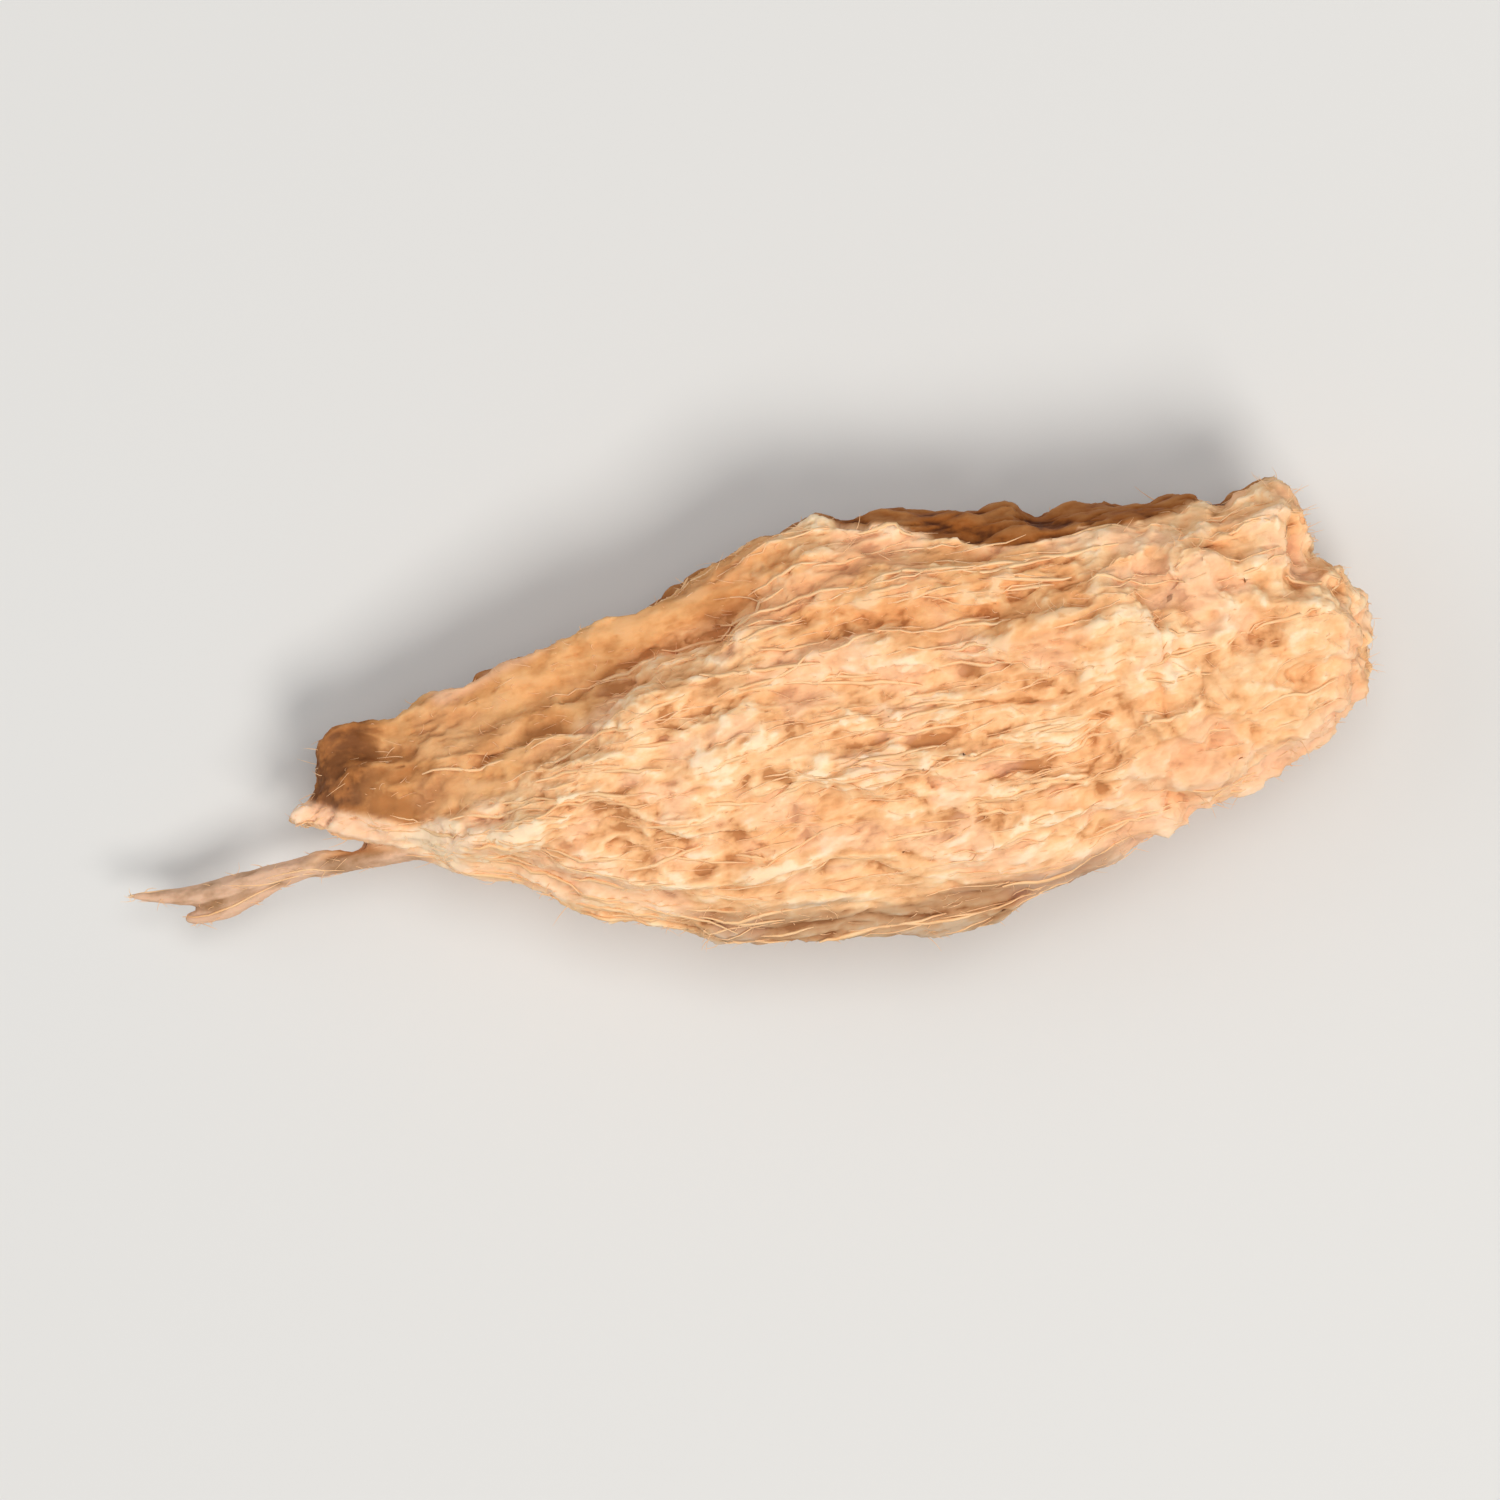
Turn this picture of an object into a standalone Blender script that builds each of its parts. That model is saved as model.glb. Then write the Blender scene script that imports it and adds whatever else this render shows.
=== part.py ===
"""Dried sweet flag root: one chip, split lengthwise from the outside of the rhizome.

X runs along the grain, Y across it and Z up.  The pale split face looks up, the brown
skin wraps the far side and the underside, and the chip rests on a small flat cut.
The fibres at the left end run out into a forked tail.
"""

import bpy
import numpy as np
from mathutils import Vector, noise

MM = 0.001

# Driving dimensions, in metres
CHIP_LENGTH = 15.1 * MM       # body from its left tip to its torn right end
FACE_BULGE = 0.70 * MM        # how far the split face rises over the line between its edges
FIBRE_RELIEF = 0.21 * MM      # height of the lengthwise ridges on the broken faces
SKIN_RELIEF = 0.11 * MM       # height of the wrinkles in the skin
LEDGE_DROP = 0.42 * MM        # how far the left part of the face lies under the main part
TORN_START = 4.7 * MM         # where the fibrous face gives way to the torn right end
LEFT_TIP = -6.55 * MM
RIGHT_END = LEFT_TIP + CHIP_LENGTH
CAP_START = RIGHT_END - 1.55 * MM   # where the right end begins to round off
CAP_SQUARENESS = 3.4          # 2 gives a round end, more gives a blunter one
CAP_MIDDLE = (-0.30 * MM, 1.60 * MM)
SKIN_ENDS_AT = 0.88           # ring size on the torn end past which there is only flesh

# Mesh density: rings along the grain, and points on each stretch of a ring
RINGS = 92
CAP_RINGS = 10
FACE_STEPS = 26
WALL_STEPS = 10
REST_STEPS = 4
SKIN_STEPS = 11

# Edges that run the length of the chip: x along the grain, y across, z up, in millimetres
FAR_EDGE = [(-6.55, -0.16, 1.22), (-6.15, 0.28, 1.24), (-5.35, 0.86, 1.55), (-3.9, 1.30, 1.88),
            (-2.5, 1.62, 2.10), (-0.9, 1.98, 2.30), (0.1, 2.36, 2.45), (1.2, 2.50, 2.58),
            (2.1, 2.40, 2.68), (3.0, 2.06, 2.80), (3.6, 1.80, 2.86), (4.3, 1.66, 2.88),
            (5.2, 1.64, 2.85), (6.4, 1.74, 2.75), (7.6, 1.82, 2.55), (8.62, 1.80, 2.40)]
NEAR_RIM = [(-6.55, -0.22, 1.22), (-5.9, -0.42, 1.55), (-5.0, -0.82, 1.85), (-4.1, -1.20, 2.10),
            (-3.3, -1.58, 2.28), (-2.1, -2.02, 2.45), (-0.9, -2.32, 2.55), (0.3, -2.48, 2.60),
            (1.6, -2.55, 2.62), (2.8, -2.78, 2.62), (3.6, -2.80, 2.62), (4.5, -2.58, 2.60),
            (5.6, -2.26, 2.60), (6.9, -1.92, 2.50), (8.62, -1.50, 2.30)]
NEAR_WALL = [(-6.55, -0.26, 1.08), (-5.9, -0.50, 1.20), (-5.0, -0.97, 1.30), (-4.1, -1.44, 1.42),
             (-3.3, -1.90, 1.50), (-2.1, -2.48, 1.55), (-0.9, -3.05, 1.58), (0.3, -3.28, 1.60),
             (1.6, -3.32, 1.62), (2.8, -3.40, 1.65), (3.6, -3.18, 1.66), (4.5, -2.87, 1.66),
             (5.6, -2.48, 1.66), (6.9, -2.13, 1.65), (8.62, -1.72, 1.55)]
NEAR_FOOT = [(-6.55, -0.22, 0.95), (-5.6, -0.40, 0.62), (-4.6, -0.68, 0.30), (-3.6, -1.02, 0.05),
             (-2.6, -1.30, -0.10), (-1.0, -1.62, -0.14), (0.5, -1.78, -0.14), (2.2, -1.74, -0.14),
             (4.2, -1.52, -0.12), (5.6, -1.30, 0.02), (6.8, -1.12, 0.26), (8.62, -1.00, 0.70)]
FAR_FOOT = [(-6.55, -0.10, 0.95), (-5.6, 0.14, 0.62), (-4.6, 0.28, 0.30), (-3.6, 0.40, 0.05),
            (-2.6, 0.48, -0.10), (-1.0, 0.62, -0.14), (0.5, 0.70, -0.14), (2.2, 0.66, -0.14),
            (4.2, 0.58, -0.12), (5.6, 0.50, 0.02), (6.8, 0.46, 0.26), (8.62, 0.40, 0.70)]
SKIN_BELLY = [(-6.55, -0.04, 1.02), (-5.4, 0.70, 0.78), (-3.9, 0.98, 0.52), (-2.5, 1.28, 0.42),
              (-0.9, 1.62, 0.42), (0.6, 1.80, 0.46), (2.1, 1.74, 0.50), (4.0, 1.56, 0.56),
              (6.4, 1.38, 0.72), (8.62, 1.25, 1.00)]
SKIN_SIDE = [(-6.55, -0.02, 1.14), (-6.15, 0.30, 1.14), (-5.35, 0.82, 1.18), (-3.9, 1.22, 1.26),
             (-2.5, 1.46, 1.36), (-0.9, 1.84, 1.46), (0.1, 2.28, 1.55), (1.2, 2.50, 1.65),
             (2.1, 2.52, 1.74), (3.0, 2.36, 1.82), (3.6, 2.22, 1.86), (4.3, 2.12, 1.88),
             (5.2, 2.04, 1.88), (6.4, 1.84, 1.82), (7.6, 1.86, 1.72), (8.62, 1.85, 1.62)]

# Broken side below the near rim: a ledge part way up, where a layer of fibres came away
WALL_LEDGE_TOP = 1.20 * MM
WALL_LEDGE_DEPTH = 0.32 * MM
END_RELIEF = 0.36 * MM        # height of the stubs on the torn end

# How far the torn end reaches at each y: a stub on the far side, a notch, then the main stump
END_REACH = [(-2.3, 7.45), (-1.9, 7.85), (-1.5, 8.20), (-1.1, 8.50), (-0.5, 8.62), (0.0, 8.58),
             (0.45, 8.40), (0.85, 8.02), (1.10, 7.98), (1.5, 8.22), (1.95, 8.10)]

# Line between the sunken left part of the face and the main part, from tip to far edge
LEDGE_LINE = [(-5.3, -1.0), (-3.75, -0.52), (-3.1, -0.05), (-2.3, 0.32), (-1.6, 1.02), (-0.5, 1.28),
              (0.7, 1.75), (1.6, 2.6)]

# Grooves and cracks in the face: line through (x, y), half width and depth, in millimetres
GROOVES = [
    ([(1.9, -1.42), (2.6, -1.33), (3.5, -1.36), (4.5, -1.26)], 0.15, 0.22),
    ([(4.84, -0.80), (4.64, -1.02), (4.58, -1.35)], 0.13, 0.16),
    ([(4.60, -1.60), (4.50, -2.10), (4.38, -2.70)], 0.15, 0.09),
    ([(-3.9, -0.70), (-3.0, -0.10), (-2.2, 0.26), (-1.5, 0.95)], 0.22, 0.08),
    ([(-2.6, -0.85), (-1.2, -0.72), (0.4, -0.55), (1.6, -0.62)], 0.15, 0.10),
    ([(-1.0, -1.65), (0.6, -1.72), (1.9, -1.92), (3.2, -2.10)], 0.16, 0.11),
    ([(0.2, 0.35), (1.7, 0.28), (3.2, -0.08), (4.3, -0.30)], 0.15, 0.09),
    ([(0.8, 1.25), (2.1, 1.02), (3.4, 0.72)], 0.15, 0.12),
    ([(-1.0, -2.62), (0.4, -2.84), (1.8, -2.96), (3.2, -2.98)], 0.14, 0.14),
    ([(5.9, 1.45), (5.75, 0.95), (5.95, 0.45)], 0.14, 0.16),
    ([(6.8, 0.95), (7.2, 0.35), (7.0, -0.35)], 0.15, 0.15),
    ([(7.75, 1.02), (8.05, 0.85), (8.5, 0.75)], 0.20, 0.18),
    ([(-5.6, 0.55), (-4.3, 0.72), (-3.1, 1.05)], 0.15, 0.12),
]

# Raised lines along the grain
CRESTS = [
    ([(-3.7, -0.98), (-2.9, -0.62), (-1.5, 0.45), (-0.1, 0.88)], 0.26, 0.14),
    ([(-1.8, -1.20), (-0.2, -1.18), (1.4, -1.12), (3.4, -1.00), (4.5, -0.85)], 0.20, 0.13),
    ([(-1.6, -2.02), (0.4, -2.28), (1.8, -2.42), (3.4, -2.62)], 0.18, 0.16),
    ([(0.9, 0.72), (2.6, 0.45), (4.2, 0.28)], 0.18, 0.10),
]

# Lumps of the torn right end and of the face: x, y, radius and height, in millimetres
LUMPS = [
    (5.25, 0.02, 0.55, 0.26), (7.70, 1.36, 0.42, 0.34), (8.30, -0.22, 0.48, 0.24),
    (6.30, 0.95, 0.45, 0.20), (5.55, -1.30, 0.48, 0.18), (6.55, -0.90, 0.50, 0.20),
    (7.55, -1.25, 0.45, 0.22), (5.35, 1.15, 0.35, 0.16), (7.30, 0.10, 0.42, 0.16),
    (6.35, -1.90, 0.35, 0.16), (-6.15, -0.36, 0.22, 0.15), (-5.50, -0.60, 0.26, 0.20),
    (-4.90, -0.86, 0.24, 0.16), (-4.35, -1.06, 0.24, 0.14), (-0.1, 0.1, 0.50, 0.12),
    (2.6, 1.35, 0.30, 0.12), (-4.6, 0.35, 0.40, 0.12),
]

# Pits between the fibres: x, y, radius and depth, in millimetres
PITS = [
    (-0.55, 1.45, 0.26, 0.26), (0.35, 1.30, 0.18, 0.16), (1.15, 0.95, 0.16, 0.12),
    (-0.1, -1.50, 0.18, 0.12), (-1.3, -0.35, 0.16, 0.10), (-2.2, -1.45, 0.18, 0.12),
    (2.8, 0.20, 0.18, 0.12), (1.3, -2.05, 0.16, 0.10), (3.9, 0.95, 0.20, 0.15),
    (-0.9, -1.15, 0.20, 0.12), (-4.0, 0.85, 0.18, 0.07), (-3.2, 0.55, 0.16, 0.06),
    (6.0, -0.30, 0.18, 0.14), (6.95, 0.60, 0.16, 0.12),
]

# Rings left on the skin by the leaves, as x at the middle of the skin, and round root scars
LEAF_RINGS = [-4.6, -2.3, 0.9, 3.6, 6.1]
LEAF_RING_SLANT = 0.32        # how far a ring leans along the grain for each metre across
ROOT_SCARS = [(-3.45, 1.30, 0.95), (-0.55, 2.20, 1.05), (2.35, 2.25, 1.20), (4.9, 1.88, 1.30)]
SCAR_RADIUS = 0.40 * MM
RING_HEIGHT = 0.12 * MM
SCAR_HEIGHT = 0.15 * MM

# Strands of the tail: a route through (x, y, z) and the radius at each point, in millimetres
STRANDS = {
    "long_strand": [(-4.80, -0.92, 1.24, 0.16), (-5.50, -0.84, 1.22, 0.20), (-6.30, -0.84, 1.14, 0.19),
                    (-7.10, -0.85, 1.02, 0.17), (-7.70, -0.92, 0.94, 0.19), (-8.20, -0.95, 0.88, 0.17), (-8.75, -0.86, 0.84, 0.11),
                    (-9.20, -0.76, 0.82, 0.05)],
    "fork_strand": [(-6.90, -0.90, 1.00, 0.10), (-7.55, -1.12, 0.90, 0.18), (-8.05, -1.22, 0.82, 0.17),
                    (-8.50, -1.24, 0.78, 0.07)],
    "tip_strand": [(-5.20, -0.64, 1.56, 0.24), (-5.85, -0.48, 1.44, 0.22), (-6.35, -0.24, 1.34, 0.19),
                   (-6.68, -0.08, 1.32, 0.10)],
}

PALE_FLESH = (0.82, 0.56, 0.32, 1.0)
BROWN_SKIN = (0.20, 0.075, 0.028, 1.0)


def clear_scene():
    for obj in list(bpy.data.objects):
        bpy.data.objects.remove(obj, do_unlink=True)


def matte_material(name, colour, roughness):
    material = bpy.data.materials.new(name)
    material.use_nodes = True
    shader = material.node_tree.nodes["Principled BSDF"]
    shader.inputs["Base Color"].default_value = colour
    shader.inputs["Roughness"].default_value = roughness
    shader.inputs["Metallic"].default_value = 0.0
    return material


def smooth_curve(knots, values, at):
    """Cubic through the knots, with the slope at each one taken from its neighbours."""
    slopes = np.gradient(values, knots)
    index = np.clip(np.searchsorted(knots, at) - 1, 0, len(knots) - 2)
    span = knots[index + 1] - knots[index]
    t = np.clip((at - knots[index]) / span, 0.0, 1.0)
    start, end = values[index], values[index + 1]
    rise_start, rise_end = slopes[index] * span, slopes[index + 1] * span
    return ((2 * t**3 - 3 * t**2 + 1) * start + (t**3 - 2 * t**2 + t) * rise_start
            + (3 * t**2 - 2 * t**3) * end + (t**3 - t**2) * rise_end)


def edge_at(edge, x):
    """Y and Z of a lengthwise edge at each x."""
    points = np.array(edge) * MM
    return np.stack([smooth_curve(points[:, 0], points[:, 1], x),
                     smooth_curve(points[:, 0], points[:, 2], x)], axis=-1)


def stretch(corners, steps):
    """Points along one side of a ring, through its corners, without the last corner."""
    corners = np.array(corners)
    knots = np.linspace(0.0, 1.0, len(corners))
    at = np.arange(steps) / steps
    return np.stack([smooth_curve(knots, corners[:, axis], at) for axis in range(2)], axis=-1)


def face_profile(far, near, bulge):
    """Crowned split face from the far edge to the near rim."""
    across = np.array([0.0, 0.2, 0.42, 0.68, 0.87, 1.0])
    lift = np.array([0.0, 0.66, 0.98, 0.93, 0.56, 0.0])
    line = far[None, :] * (1 - across[:, None]) + near[None, :] * across[:, None]
    line[:, 1] += bulge * lift
    return line


def smooth_step(value, low, high):
    t = np.clip((value - low) / (high - low), 0.0, 1.0)
    return t * t * (3 - 2 * t)


def away_from_corners(count):
    """0 at the ends of a stretch and 1 along its middle."""
    along = np.arange(count) / count
    return smooth_step(along, 0.0, 0.14) * (1 - smooth_step(along, 0.86, 1.0))


def ring_at(x):
    """One closed section: (y, z) points, the stretch each is on, and how clear it is of corners."""
    here = np.array([x])
    far, near, wall = (edge_at(edge, here)[0] for edge in (FAR_EDGE, NEAR_RIM, NEAR_WALL))
    near_foot, far_foot = (edge_at(edge, here)[0] for edge in (NEAR_FOOT, FAR_FOOT))
    belly, side = (edge_at(edge, here)[0] for edge in (SKIN_BELLY, SKIN_SIDE))
    tip_fade = np.clip((x - LEFT_TIP) / (2.6 * MM), 0.0, 1.0) ** 0.6
    face = stretch(face_profile(far, near, FACE_BULGE * tip_fade), FACE_STEPS)
    sides = [face, stretch([near, wall, near_foot], WALL_STEPS),
             stretch([near_foot, far_foot], REST_STEPS), stretch([far_foot, belly, side, far], SKIN_STEPS)]
    labels = np.repeat(["face", "wall", "rest", "skin"], [len(points) for points in sides])
    inset = np.concatenate([away_from_corners(len(points)) for points in sides])
    return np.concatenate(sides), labels, inset


def ring_places():
    """X of each ring and its size: 1 along the body, falling towards 0 over the torn end."""
    body = np.linspace(LEFT_TIP, CAP_START, RINGS - CAP_RINGS)
    turn = np.linspace(0.0, 0.49 * np.pi, CAP_RINGS + 1)[1:]
    cap = CAP_START + (RIGHT_END - CAP_START) * np.sin(turn) ** (2.0 / CAP_SQUARENESS)
    size = np.concatenate([np.ones(len(body)), np.cos(turn) ** (2.0 / CAP_SQUARENESS)])
    return np.concatenate([body, cap]), size


def trim_end(vertices):
    """Draw the torn end back to its reach at each y."""
    reach = np.array(END_REACH) * MM
    share = (np.interp(vertices[:, 1], reach[:, 0], reach[:, 1]) - CAP_START) / (RIGHT_END - CAP_START)
    beyond = np.maximum(vertices[:, 0] - CAP_START, 0.0)
    vertices[:, 0] += beyond * (share - 1)
    return vertices


def loft_body():
    """Rings joined along the grain and closed at both ends, with each point's stretch."""
    vertices, labels, inset = [], [], []
    middle = np.array(CAP_MIDDLE)
    places, sizes = ring_places()
    for x, size in zip(places, sizes):
        points, kinds, clear = ring_at(x)
        points = middle + (points - middle) * size
        vertices.extend((x, y, z) for y, z in points)
        labels.extend(kinds if size > SKIN_ENDS_AT else ["end"] * len(kinds))
        inset.extend(clear)
    count = len(vertices) // len(places)
    faces = []
    for ring in range(len(places) - 1):
        for step in range(count):
            follow = (step + 1) % count
            faces.append((ring * count + step, ring * count + follow,
                          (ring + 1) * count + follow, (ring + 1) * count + step))
    last = (len(places) - 1) * count
    faces.append(tuple(reversed(range(count))))
    faces.append(tuple(range(last, last + count)))
    return trim_end(np.array(vertices)), np.array(labels), np.array(inset), faces


def distance_to_line(x, y, line):
    """Distance in plan to a line, and on which side: positive on the side towards +Y."""
    best = np.full(len(x), np.inf)
    side = np.zeros(len(x))
    for (x0, y0), (x1, y1) in zip(line[:-1], line[1:]):
        along_x, along_y = (x1 - x0) * MM, (y1 - y0) * MM
        from_x, from_y = x - x0 * MM, y - y0 * MM
        t = np.clip((from_x * along_x + from_y * along_y) / (along_x**2 + along_y**2), 0.0, 1.0)
        gap = np.hypot(from_x - t * along_x, from_y - t * along_y)
        nearer = gap < best
        best = np.where(nearer, gap, best)
        side = np.where(nearer, np.sign(along_x * from_y - along_y * from_x), side)
    return best, side


def face_relief(x, y):
    """Height added to the split face: its ledge, crests, grooves, lumps and pits."""
    gap, side = distance_to_line(x, y, LEDGE_LINE)
    fade = smooth_step(x, LEFT_TIP, -5.0 * MM) * (1 - smooth_step(x, 0.0 * MM, 1.4 * MM))
    fade *= 0.55 + 0.45 * smooth_step(x, -3.2 * MM, -1.2 * MM)
    height = -LEDGE_DROP * smooth_step(gap * side, -0.12 * MM, 0.34 * MM) * fade
    for line, width, rise in CRESTS:
        gap, side = distance_to_line(x, y, line)
        height += rise * MM * np.exp(-(gap / (width * MM)) ** 2)
    for line, width, depth in GROOVES:
        gap, side = distance_to_line(x, y, line)
        height -= depth * MM * np.exp(-(gap / (width * MM)) ** 2)
    for spots, sign in ((LUMPS, 1.0), (PITS, -1.0)):
        for centre_x, centre_y, radius, size in spots:
            gap = np.hypot((x - centre_x * MM) / 1.25, y - centre_y * MM)
            height += sign * size * MM * np.exp(-(gap / (radius * MM)) ** 2)
    return height


def skin_relief(points):
    """Height added to the skin: leaf rings that cross it and round root scars."""
    x, y, z = points.T
    height = np.zeros(len(points))
    for ring in LEAF_RINGS:
        gap = x - ring * MM - LEAF_RING_SLANT * (z - 1.0 * MM)
        height += RING_HEIGHT * np.exp(-(gap / (0.24 * MM)) ** 2)
        height -= RING_HEIGHT * np.exp(-((gap - 0.50 * MM) / (0.26 * MM)) ** 2)
    for scar in ROOT_SCARS:
        gap = np.linalg.norm(points - np.array(scar) * MM, axis=1)
        height += SCAR_HEIGHT * np.exp(-((gap - SCAR_RADIUS) / (0.16 * MM)) ** 2)
        height -= SCAR_HEIGHT * np.exp(-(gap / (0.20 * MM)) ** 2)
    return height


def wall_relief(points):
    """Step in the broken side below its ledge, which wanders along the grain."""
    x, y, z = points.T
    wander = 0.22 * MM * np.sin(x / (1.9 * MM)) + 0.10 * MM * np.sin(x / (0.63 * MM) + 1.0)
    runs = smooth_step(x, -3.8 * MM, -2.4 * MM) * (1 - smooth_step(x, 4.6 * MM, 6.4 * MM))
    under = 1 - smooth_step(z - wander, WALL_LEDGE_TOP - 0.10 * MM, WALL_LEDGE_TOP + 0.10 * MM)
    return -WALL_LEDGE_DEPTH * under * runs * smooth_step(z, 0.0, 0.4 * MM)


def wavering(points, stretch_x, scale, octaves):
    """Natural noise that is drawn out along the grain."""
    frequency = np.array([1.0 / stretch_x, 1.0, 1.0]) / scale
    return np.array([noise.fractal(Vector(p * frequency), 0.6, 2.0, octaves) for p in points])


def carve(points, normals, labels, inset):
    """Move each point out or in along its normal by the relief of its stretch."""
    x, y = points[:, 0], points[:, 1]
    torn = smooth_step(x, TORN_START - 0.2 * MM, TORN_START + 0.6 * MM)
    fibres = wavering(points, 5.5, 0.50 * MM, 2)
    crumbs = wavering(points, 1.1, 0.62 * MM, 2)
    broken = FIBRE_RELIEF * (fibres * (1 - torn) + 1.1 * crumbs * torn)
    broken *= 0.45 + 0.55 * smooth_step(x, -5.8 * MM, -2.8 * MM)
    stubs = wavering(points, 1.0, 0.75 * MM, 2) - 0.25
    broken += END_RELIEF * smooth_step(normals[:, 0], 0.5, 0.9) * stubs
    wrinkles = SKIN_RELIEF * wavering(points, 3.0, 0.50 * MM, 2)
    swell = 0.10 * MM * wavering(points, 2.0, 1.9 * MM, 1)
    upright = smooth_step(normals[:, 2], 0.1, 0.5)
    moves = {"face": broken + inset * upright * face_relief(x, y),
             "wall": broken + wall_relief(points), "rest": broken,
             "end": broken + inset * upright * face_relief(x, y),
             "skin": wrinkles + inset * skin_relief(points)}
    height = swell + np.select([labels == kind for kind in moves], list(moves.values()))
    ends = smooth_step(x, LEFT_TIP, LEFT_TIP + 0.8 * MM)
    moved = points + normals * (height * ends)[:, None]
    moved[:, 2] = np.maximum(moved[:, 2], 0.0)
    return moved


def mesh_object(name, vertices, faces):
    mesh = bpy.data.meshes.new(name)
    mesh.from_pydata([tuple(v) for v in vertices], [], faces)
    mesh.update()
    obj = bpy.data.objects.new(name, mesh)
    bpy.context.scene.collection.objects.link(obj)
    return obj


def paint(body, labels):
    """Brown on the faces of the skin, flesh colour on the rest."""
    body.data.materials.append(matte_material("pale_flesh", PALE_FLESH, 0.85))
    body.data.materials.append(matte_material("brown_skin", BROWN_SKIN, 0.75))
    for polygon in body.data.polygons:
        on_skin = all(labels[corner] == "skin" for corner in polygon.vertices)
        polygon.material_index = 1 if on_skin else 0


def make_body():
    vertices, labels, inset, faces = loft_body()
    body = mesh_object("root_chip", vertices, faces)
    normals = np.array([vertex.normal for vertex in body.data.vertices])
    outward = normals[labels == "face"][:, 2].mean()
    if outward < 0:
        body.data.flip_normals()
        normals = -normals
    moved = carve(vertices, normals, labels, inset)
    for vertex, place in zip(body.data.vertices, moved):
        vertex.co = place
    body.data.update()
    paint(body, labels)
    return body


def make_strand(name, route):
    """A tapering strand of fibre as a closed mesh, from a curve with a round bevel."""
    curve = bpy.data.curves.new(name, "CURVE")
    curve.dimensions = "3D"
    curve.bevel_depth = 1.0 * MM
    curve.bevel_resolution = 1
    curve.use_fill_caps = True
    curve.resolution_u = 4
    spline = curve.splines.new("NURBS")
    spline.points.add(len(route) - 1)
    for point, (x, y, z, radius) in zip(spline.points, route):
        point.co = (x * MM, y * MM, z * MM, 1.0)
        point.radius = radius
    spline.use_endpoint_u = True
    spline.order_u = 3
    guide = bpy.data.objects.new(name, curve)
    bpy.context.scene.collection.objects.link(guide)
    bpy.context.view_layer.update()
    evaluated = guide.evaluated_get(bpy.context.evaluated_depsgraph_get())
    mesh = bpy.data.meshes.new_from_object(evaluated)
    bpy.data.objects.remove(guide, do_unlink=True)
    strand = bpy.data.objects.new(name, mesh)
    bpy.context.scene.collection.objects.link(strand)
    weld = strand.modifiers.new("weld caps", "WELD")
    weld.merge_threshold = 0.000001
    return strand


def join_strand(body, strand):
    """Grow the strand into the body, so that both are one closed solid."""
    union = body.modifiers.new(strand.name, "BOOLEAN")
    union.operation = "UNION"
    union.solver = "EXACT"
    union.object = strand
    strand.hide_render = True
    strand.display_type = "WIRE"


def settle(body):
    """Apply the unions and put the middle of the chip's base at the origin."""
    bpy.context.view_layer.update()
    evaluated = body.evaluated_get(bpy.context.evaluated_depsgraph_get())
    mesh = bpy.data.meshes.new_from_object(evaluated)
    body.modifiers.clear()
    body.data = mesh
    places = np.array([vertex.co for vertex in mesh.vertices])
    low, high = places.min(axis=0), places.max(axis=0)
    shift = np.array([0.5 * (low[0] + high[0]), 0.5 * (low[1] + high[1]), low[2]])
    for vertex, place in zip(mesh.vertices, places - shift):
        vertex.co = place
    mesh.update()
    print("origin lies at", [round(value / MM, 3) for value in shift], "mm of the design")


def collection_named(name):
    collection = bpy.data.collections.new(name)
    bpy.context.scene.collection.children.link(collection)
    return collection


def main():
    clear_scene()
    body = make_body()
    strands = [make_strand(name, route) for name, route in STRANDS.items()]
    for strand in strands:
        join_strand(body, strand)
    settle(body)
    body.data.shade_smooth()
    body.data.set_sharp_from_angle(angle=0.6)
    chips, cutters = collection_named("sweet_flag_root"), collection_named("guides")
    for obj, home in [(body, chips)] + [(strand, cutters) for strand in strands]:
        home.objects.link(obj)
        bpy.context.scene.collection.objects.unlink(obj)


main()
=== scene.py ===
"""Looks of a dried sweet flag root chip, laid out as a Blender add-on and run as a script.

The chip lies with its grain along X and its pale split face up.  Its fine surface is grown
from a merged copy of the frame's solid: fibres, pits and crumbs on the broken faces, and
wrinkles and rings in the brown skin.  Loose fibres and a short nap lie on top of it.
"""

import math
import random

import bpy
import numpy as np
from bpy.props import FloatProperty, FloatVectorProperty, IntProperty, PointerProperty
from bpy.types import Operator, Panel, PropertyGroup
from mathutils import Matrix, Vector, noise
from mathutils.bvhtree import BVHTree


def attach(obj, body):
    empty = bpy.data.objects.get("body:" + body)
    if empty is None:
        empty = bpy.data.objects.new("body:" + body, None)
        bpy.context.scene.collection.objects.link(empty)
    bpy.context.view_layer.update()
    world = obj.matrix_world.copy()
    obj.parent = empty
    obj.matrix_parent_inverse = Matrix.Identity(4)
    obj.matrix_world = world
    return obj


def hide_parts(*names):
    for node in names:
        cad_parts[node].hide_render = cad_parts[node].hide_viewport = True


bl_info = {
    "name": "Sweet Flag Root Chip",
    "version": (1, 0, 0),
    "blender": (4, 5, 0),
    "location": "3D View > Sidebar > Root Chip",
    "description": "Fine surface, loose fibres and nap of a dried chip of sweet flag root",
    "category": "Object",
}

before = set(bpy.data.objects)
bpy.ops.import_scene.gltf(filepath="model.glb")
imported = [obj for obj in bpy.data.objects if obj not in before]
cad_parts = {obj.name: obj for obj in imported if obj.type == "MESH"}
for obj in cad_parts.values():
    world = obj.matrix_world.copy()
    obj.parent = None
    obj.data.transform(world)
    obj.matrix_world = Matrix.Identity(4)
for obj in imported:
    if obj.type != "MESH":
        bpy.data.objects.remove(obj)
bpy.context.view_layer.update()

MM = 0.001
CHIP_NODE = "root_chip"
MERGE_DISTANCE = 0.000002

# The lines below are in millimetres in the chip's design, whose middle lies here in the frame
DESIGN_MIDDLE = (-0.205 * MM, -0.406 * MM)

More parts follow.
